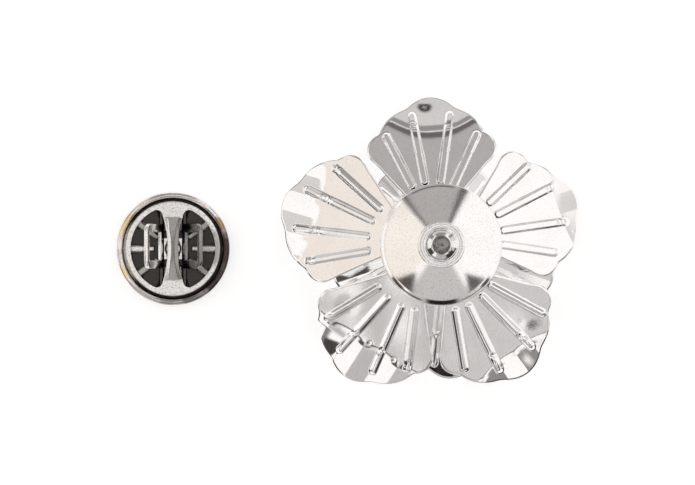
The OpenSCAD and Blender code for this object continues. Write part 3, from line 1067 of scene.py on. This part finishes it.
@dataclass
class ClutchPlate:
    """The clutch's satin plate with two D-shaped windows and the waisted bridge between them.

    The lips along the bridge end at lip_share of the windows' outer radius. Their edges are rounded by
    lip_rounds, first the one at the window.
    """

    radius: float = 4.84
    foot_radius: float = 5.05
    top_z: float = 1.46
    sheet: float = 0.30
    foot_z: float = 0.37
    rim: float = 0.53
    bridge: float = 1.12
    bridge_radius: float = 12.5
    corner: float = 0.60
    edge: float = 0.16
    lip: float = 0.44
    lip_height: float = 0.30
    lip_share: float = 0.74
    lip_rounds: Point = (0.14, 0.16)

    def build(self) -> None:
        """Makes the plate with its windows, and the two lips along the bridge."""
        r, t, z = self.radius, self.sheet, self.top_z
        foot_r, foot_z = self.foot_radius, self.foot_z
        profile: list[Point] = [(0, z - t), (r - t - 0.1, z - t), (r - t, z - t - 0.1), (r - t, foot_z)]
        profile += [(foot_r, foot_z), (foot_r, foot_z + t), (r, foot_z + t)]
        edge = self.edge
        profile += [(r, z - edge - 0.02), *Bench.arc((r - edge, z - edge), edge, 0, 90, 6), (0, z)]
        plate = Bench.spun("clutch_plate_dressed", profile, 160, CLUTCH_MIDDLE)
        outline = np.array(self.window_outline())
        for sign in (1, -1):
            cutter = Bench.slab(outline * [sign, 1] + CLUTCH_MIDDLE, z - 2 * t, 4 * t)
            Bench.modify(plate, "BOOLEAN", object=cutter, operation="DIFFERENCE", solver="EXACT")
            bpy.data.objects.remove(cutter)
        Bench.rounded_edges(plate, 0.07, segments=3, angle=50)
        Piece("root", "clutch_plate", "clutch_satin", SATIN).place(plate)
        for sign, name in ((1, "right"), (-1, "left")):
            self.build_lip(sign, name)

    def window_outline(self) -> list[Point]:
        """Finds the outline of the right window.

        Returns:
            Its corners, about the clutch's axis.
        """
        outer, inner = self.radius - self.rim, self.bridge_radius
        middle = self.bridge / 2 + inner
        seat = outer - self.corner
        reach = inner - self.corner
        x = (seat**2 - reach**2 + middle**2) / (2 * middle)
        y = math.sqrt(seat**2 - x**2)
        out_turn = math.degrees(math.atan2(y, x))
        in_turn = math.degrees(math.atan2(y, x - middle))
        points = Bench.arc((0, 0), outer, -out_turn, out_turn, 60)
        points += Bench.arc((x, y), self.corner, out_turn, in_turn, 12)[1:]
        points += Bench.arc((middle, 0), inner, in_turn, 360 - in_turn, 40)[1:]
        points += Bench.arc((x, -y), self.corner, 360 - in_turn, 360 - out_turn, 12)[1:-1]
        return points

    def build_lip(self, sign: int, name: str) -> None:
        """Spins one raised lip along the bridge.

        Args:
            sign: 1 for the right side, -1 for the left one.
            name: the side's name.
        """
        low, high = self.top_z - self.sheet / 2, self.top_z + 0.7 * self.lip_height
        near, far = self.bridge_radius, self.bridge_radius + self.lip
        half = math.degrees(math.asin(self.lip_share * (self.radius - self.rim) / self.bridge_radius))
        inner, outer = self.lip_rounds
        profile = [(near, low), *Bench.arc((near + inner, high - inner), inner, 180, 90, 6)]
        profile += [*Bench.arc((far - outer, high - outer), outer, 90, 0, 6), (far, low)]
        axis = (CLUTCH_X + sign * (self.bridge / 2 + self.bridge_radius), CLUTCH_Y)
        facing = 180 if sign > 0 else 0
        sweep = (facing - half, facing + half)
        lip = Bench.spun(f"clutch_lip_{name}", profile, 40, axis, sweep, closed=True)
        Bench.reshape(lip, self.tapered)
        finish = LIP_SHADED if sign > 0 else LIP_PLATE
        Piece("root", "clutch_plate", "clutch_satin", finish).place(lip, smooth=60)

    def tapered(self, points: np.ndarray) -> np.ndarray:
        """Lets the lip sink into the plate towards its ends."""
        share = np.abs(points[:, 1] - CLUTCH_Y) / (self.lip_share * (self.radius - self.rim))
        sunk = points.copy()
        over = np.maximum(points[:, 2] - self.top_z + 0.02, 0)
        sunk[:, 2] -= over * np.clip((share - 0.55) / 0.45, 0, 1) ** 1.5
        return sunk


class Side(Enum):
    """Which of the two wings."""

    LEFT = -1
    RIGHT = 1


@dataclass
class Wing:
    """One leaning loop wing with its pivot bar and jaw.

    The right wing leans by lean_off more than lean, and the left one by as much less. The opening is
    drawn in to opening_share of its width. The jaw is its gap, width and thickness.
    """

    side: Side
    pivot: Point = (1.15, 0.80)
    pivot_d: float = 0.52
    pivot_len: float = 7.8
    pivot_cut: float = 0.08
    sheet: float = 0.40
    height: float = 4.5
    width: float = 4.6
    strip: float = 0.60
    opening_share: float = 0.84
    lean: float = 21.5
    lean_off: float = 1.8
    shift: float = 0.25
    jaw: tuple[float, float, float] = (0.10, 2.2, 0.24)
    jaw_z: float = 0.68
    hole: float = 1.7

    @property
    def name(self) -> str:
        """The wing's body and node."""
        return f"wing_{self.side.name.lower()}"

    def build(self) -> None:
        """Makes the loop, the pivot bar and the jaw."""
        made = {"loop": self.loop(), "pivot": self.bar(), "jaw": self.jaw_plate()}
        for label, obj in made.items():
            obj.name = obj.data.name = f"{self.name}_{label}"
            Bench.reshape(obj, self.placed)
            if self.side is Side.LEFT:
                Bench.outward(obj)
            # The pivot bars take the painted shadow finish.
            finish = WING_PAINTED_SHADOW if label == "pivot" else WING_PLATE
            if label == "loop" and self.side is Side.RIGHT:
                finish = WING_SHADED
            Piece(self.name, self.name, "clutch_satin", finish).place(obj)

    def placed(self, points: np.ndarray) -> np.ndarray:
        """Puts points of a right wing at the clutch, mirrored for a left one."""
        return points * [self.side.value, 1, 1] + [CLUTCH_X, CLUTCH_Y, 0]

    def loop(self) -> bpy.types.Object:
        """Makes the loop: a plane with rounded top corners, inset, opened, extruded and leant.

        Returns:
            The loop, about the clutch's axis.
        """
        Bench.clear()
        bpy.ops.mesh.primitive_plane_add(size=MM)
        obj = bpy.context.object
        w, h, corner = self.width, self.height, self.width / 5
        Bench.reshape(obj, lambda p: p * [w, h, 1] + [0, h / 2, 0])
        Bench.edit(obj)
        bpy.ops.mesh.select_mode(type="VERT")
        bpy.ops.object.mode_set(mode="OBJECT")
        for vertex in obj.data.vertices:
            vertex.select = vertex.co.y > h / 2 * MM
        for edge in obj.data.edges:
            edge.select = all(obj.data.vertices[i].select for i in edge.vertices)
        for face in obj.data.polygons:
            face.select = False
        bpy.ops.object.mode_set(mode="EDIT")
        bpy.ops.mesh.bevel(offset=corner * MM, segments=8, affect="VERTICES")
        bpy.ops.mesh.select_all(action="SELECT")
        bpy.ops.mesh.select_mode(type="FACE")
        bpy.ops.mesh.inset(thickness=self.strip * MM, depth=0)
        bpy.ops.mesh.delete(type="FACE")
        bpy.ops.mesh.select_all(action="SELECT")
        bpy.ops.mesh.extrude_region_move(TRANSFORM_OT_translate={"value": (0, 0, self.sheet * MM)})
        Bench.outward(obj)
        Bench.reshape(obj, self.narrowed)
        Bench.rounded_edges(obj, 0.10, segments=3, angle=50)
        lean = math.radians(self.lean + self.side.value * self.lean_off)

        def leant(points: np.ndarray) -> np.ndarray:
            """Stands the loop on its pivot and leans it outwards."""
            across, up, thick = points[:, 0], points[:, 1], points[:, 2] - self.sheet / 2
            x = self.pivot[0] + up * math.sin(lean) + thick * math.cos(lean)
            z = self.pivot[1] + up * math.cos(lean) - thick * math.sin(lean)
            return np.stack([x, across + self.shift, z], axis=1)

        Bench.reshape(obj, leant)
        Bench.outward(obj)
        return obj

    def narrowed(self, points: np.ndarray) -> np.ndarray:
        """Draws the loop's opening in, so that its side strips are wider than its top strip."""
        slack = 0.05
        inner = np.abs(points[:, 0]) < self.width / 2 - self.strip + slack
        inner &= (points[:, 1] > self.strip - slack) & (points[:, 1] < self.height - self.strip + slack)
        drawn = points.copy()
        drawn[:, 0] = np.where(inner, points[:, 0] * self.opening_share, points[:, 0])
        return drawn

    def bar(self) -> bpy.types.Object:
        """Makes the pivot bar with rounded ends.

        Returns:
            The bar, about the clutch's axis.
        """
        r, half, cut = self.pivot_d / 2, self.pivot_len / 2, self.pivot_cut
        profile: list[Point] = [(0, -half), (r - cut, -half), (r, -half + cut)]
        profile += [(r, half - cut), (r - cut, half), (0, half)]
        bar = Bench.spun("bar", profile, 40)
        Bench.reshape(bar, lambda p: p[:, [0, 2, 1]] + [self.pivot[0], 0, self.pivot[1]])
        Bench.outward(bar)
        return bar

    def jaw_plate(self) -> bpy.types.Object:
        """Makes the jaw: a small plate with a notch that grips the post.

        Returns:
            The jaw, about the clutch's axis.
        """
        gap, width, thick = self.jaw
        notch = math.degrees(math.acos(gap / (self.hole / 2)))
        outline = Bench.arc((0, 0), self.hole / 2, notch, -notch, 18)
        back = self.pivot[0]
        outline += [(gap, -width / 2), (back, -width / 2), (back, width / 2), (gap, width / 2)]
        jaw = Bench.slab(outline, self.jaw_z - thick / 2, thick)
        Bench.rounded_edges(jaw, 0.05)
        return jaw


# Studio


@dataclass(frozen=True)
class Card:
    """A studio card: where it stands round the object and off the upright, in degrees, and its light.

    Half is half its width, and a half of 180 goes all round. Soft and soft_up are half the widths of its
    edges. It narrows downwards from its high edge by flare.
    """

    azimuth: float
    half: float
    low: float
    high: float
    light: Colour
    soft: float = 2.5
    soft_up: float = 2.5
    flare: float = 0.0


@dataclass
class Studio:
    """Pale floor, soft light from all round with studio cards in it, and the camera."""

    centre: Point = (-9.47, 0.23)
    frame_width: float = 70.7
    lens: float = 400.0
    sensor: float = 36.0
    floor_below: float = 0.1
    dome: Colour = (1.06, 1.04, 1.03)
    cards: tuple[Card, ...] = (
        Card(90, 180, 80, 94, (0.22, 0.21, 0.21), soft_up=5),
        Card(91, 24, 85, 101, (0.03, 0.028, 0.028), soft=4),
        Card(90, 180, -5, 4, (0.45, 0.44, 0.44), soft_up=4),
        Card(177, 46, 9, 26, (0.98, 0.92, 0.85), soft_up=1),
        Card(177, 46, 26, 33, (0.90, 0.825, 0.765), soft_up=1),
        Card(149, 9, 34, 52, (0.70, 0.68, 0.66), soft=2, soft_up=1.5),
        Card(190, 8, 41, 56, (0.06, 0.055, 0.05), soft=1.5, soft_up=1.5),
        Card(212, 16, 56, 84, (0.06, 0.055, 0.05), soft=3, soft_up=2),
        Card(317, 32, 60, 92, (0.05, 0.045, 0.045), soft=4, soft_up=3),
        Card(318, 8, 47, 60, (0.28, 0.26, 0.25), soft=2, soft_up=2),
        Card(41, 9, 58, 92, (0.30, 0.29, 0.28), soft=3),
        Card(140, 10, 57, 92, (0.30, 0.29, 0.28), soft=3),
        Card(342, 8, 50, 62, (0.32, 0.30, 0.29), soft=2),
        Card(342, 9, 62, 80, (0.64, 0.62, 0.61), soft=2),
        Card(58, 9, 70, 98, (0.80, 0.79, 0.79), soft=3),
        Card(347, 11, 40, 50, (0.63, 0.61, 0.605), soft=2),
        Card(300, 12, 27.2, 35, (0.62, 0.605, 0.60), soft=3, soft_up=1),
        Card(12, 24, 54, 94, (1.00, 0.98, 0.97), soft=3),
        Card(27, 9, 54, 94, (0.72, 0.70, 0.69), soft=2),
        Card(269, 32, 10, 44, (0.57, 0.55, 0.54), soft=3, soft_up=5),
        Card(268, 24, 44, 84, (0.50, 0.48, 0.48), soft=6),
        Card(229, 14, 20.5, 26.6, (0.07, 0.05, 0.045), soft=2, soft_up=0.6, flare=2.0),
        Card(222, 8, 30.0, 41, (0.07, 0.05, 0.045), soft=2, soft_up=0.6),
        Card(240, 12, 34, 38.5, (0.07, 0.05, 0.045), soft=2, soft_up=0.8),
        Card(312, 13, 20.9, 26.8, (0.07, 0.065, 0.062), soft=2, soft_up=0.6, flare=2.2),
        Card(320, 6, 30.5, 41, (0.07, 0.065, 0.062), soft=2, soft_up=0.6),
        Card(303, 12, 36, 40, (0.16, 0.15, 0.145), soft=2, soft_up=0.8),
        Card(272, 16, 27.5, 41, (0.012, 0.011, 0.011), soft=4, soft_up=1),
        Card(96, 33, 9, 40, (0.45, 0.43, 0.425), soft=2),
        Card(96, 30, 52, 84, (0.66, 0.64, 0.63), soft=5),
        Card(93, 27, 54, 69, (0.30, 0.29, 0.285), soft=3, soft_up=2),
        Card(66, 4, 12, 40, (0.12, 0.11, 0.11), soft=2),
        Card(127, 3, 12, 40, (0.15, 0.14, 0.14), soft=2),
        Card(98, 22, 35, 50, (0.14, 0.13, 0.13), soft=2),
    )

    def build(self) -> None:
        """Makes the floor, the light and the camera."""
        self.floor()
        self.light()
        self.camera()
        bpy.context.scene.view_settings.view_transform = "Standard"

    def floor(self) -> None:
        """Makes the plain pale floor."""
        Bench.clear()
        bpy.ops.mesh.primitive_plane_add(size=2.0, location=(0, 0, -self.floor_below * MM))
        plane = bpy.context.object
        plane.name = "floor"
        made = bpy.data.materials.new("floor_white")
        made.use_nodes = True
        paint = {
            "Base Color": (0.62, 0.62, 0.62, 1),
            "Roughness": 0.8,
            "Specular IOR Level": 0.0,
            "Emission Color": (1, 1, 1, 1),
            "Emission Strength": 0.62,
        }
        Tree(made.node_tree).surface(paint)
        plane.data.materials.append(made)

    def light(self) -> None:
        """Fills the world with soft light and its cards."""
        world = bpy.data.worlds.new("studio")
        world.use_nodes = True
        bpy.context.scene.world = world
        tree = Tree(world.node_tree)
        x, y, z = tree.parts(tree.node("ShaderNodeTexCoord").outputs["Generated"])
        turn = y.maths("ARCTAN2", x) * math.degrees(1)
        fall = z.maths("ARCCOSINE") * math.degrees(1)
        colour: Any = self.dome
        for card in self.cards:
            shade = fall.band(card.low, card.high, card.soft_up)
            if card.half < 180:
                off = turn.away(card.azimuth) - (fall - card.high) * card.flare
                shade = shade * (1 - off.rise(card.half - card.soft, card.half + card.soft))
            colour = tree.blend(shade, colour, card.light)
        background = tree.node("ShaderNodeBackground", {"Color": colour, "Strength": 1.0})
        tree.node("ShaderNodeOutputWorld", {"Surface": background.outputs[0]})

    def camera(self) -> None:
        """Sets the camera straight above, as the photograph was taken."""
        data = bpy.data.cameras.new("camera")
        data.lens, data.sensor_width, data.sensor_fit = self.lens, self.sensor, "HORIZONTAL"
        data.clip_start, data.clip_end = 0.01, 10
        camera = bpy.data.objects.new("camera", data)
        bpy.context.scene.collection.objects.link(camera)
        distance = self.frame_width * self.lens / self.sensor
        camera.location = Vector((self.centre[0], self.centre[1], distance)) * MM
        bpy.context.scene.camera = camera


# Assembly


@dataclass
class LapelPin:
    """The whole pin with its clutch. Heights stack up from the button as in the solids."""

    sheet: float = 0.40
    gap: float = 0.02
    button_height: float = 5.0
    middle_radius: float = 4.6
    shank_hole: float = 0.87

    def build(self) -> None:
        """Builds the petals, the washer, the post, the button and the clutch."""
        front_z = self.button_height + self.sheet
        back_z = front_z + self.gap + self.sheet
        washer_z = back_z + self.gap + self.sheet
        for layer in (self.back_petals(back_z), self.front_petals(front_z)):
            layer.build(self.middle_radius, self.shank_hole)
        Washer(washer_z).build()
        Post(washer_z + self.gap).build()
        FrontButton(self.button_height).build()
        ClutchCup().build()
        ClutchPlate().build()
        for side in Side:
            Wing(side).build()

    @staticmethod
    def back_petals(top_z: float) -> PetalLayer:
        """Gives the back layer's sizes."""
        right = Petal(
            "right", 17.6, slide=0.70, shift=0.026, length=0.972, drop=1.05, left=-0.015, right=0.040,
            fold_out=0.3, fold_bow=0.02, facets=0.12, lean=0.5, flanks=(0.16, 0.16),
            dents=((10.6, 3.0, 1.3, 0.02),),
        )
        top = Petal(
            "top", 91.4, slide=0.88, shift=0.053, length=0.978, drop=1.07, left=0.008, right=0.008,
            fold_out=-0.6, fold_bow=0.07, facets=0.05, lean=0.2, bend=0.38, flanks=(0.22, 0.12),
            mirrored=True, dents=((14.55, 0.58, 0.80, 0.17), (13.4, -1.7, 0.9, 0.03)),
        )
        left = Petal(
            "left", 163.6, slide=1.20, shift=0.035, length=1.045, drop=0.91, left=0.023, right=0.020,
            fold_out=0.7, fold_bow=0.02, facets=0.17, lean=0.7, bend=0.08, flanks=(0.40, 0.20),
            dents=((12.96, -1.64, 0.2, 0.11), (12.86, 1.81, 0.22, 0.12), (13.9, 3.4, 0.9, 0.05)),
        )
        low_left = Petal(
            "low_left", 237.2, slide=1.30, shift=-0.066, length=1.025, drop=0.97, left=0.020, right=0.030,
            fold_out=0.1, fold_bow=0.0, facets=0.18, lean=0.1, flanks=(0.42, 0.30),
            dents=((10.2, -3.8, 0.8, 0.04), (12.3, 0.2, 0.18, 0.06), (12.4, 3.2, 0.18, 0.06)),
            curl=(13.2, -2.0, 0.24),
        )
        low_right = Petal(
            "low_right", 305.5, slide=0.89, shift=-0.037, length=1.029, drop=0.96, left=0.0, right=0.020,
            fold_out=0.8, fold_bow=0.02, facets=0.15, lean=1.9, flanks=(0.28, 0.42),
            dents=((14.6, 1.4, 0.9, -0.04), (11.2, 3.2, 1.0, 0.03)),
        )
        return PetalLayer(
            "petals_back", top_z, length=13.6, width=13.1, slide=2.0, tilt=14.0, root=1.5, drop=4.6,
            clear=6.2, petals=(right, top, left, low_left, low_right), fold=12.2,
        )

    @staticmethod
    def front_petals(top_z: float) -> PetalLayer:
        """Gives the front layer's sizes."""
        petals = (
            Petal("upper_right", 61, length=0.58, facets=0.04),
            Petal("upper_left", 130, length=0.64, facets=0.04),
            Petal("lower_left", 198, length=0.83, facets=0.08, lean=-0.25),
            Petal("bottom", 275, length=1.02, facets=0.08),
            Petal("lower_right", 342, length=0.88, facets=0.08),
        )
        return PetalLayer(
            "petals_front", top_z, length=11.8, width=10.4, slide=1.6, tilt=23.0, root=1.12, drop=4.6,
            clear=0.0, petals=petals, rib_height=0.17, rings=40, steps=220,
        )


def main() -> None:
    """Builds the pin and its studio."""
    logging.basicConfig(level=logging.INFO, format="%(message)s")
    Studio().build()
    LapelPin().build()


if __name__ == "__main__":
    main()
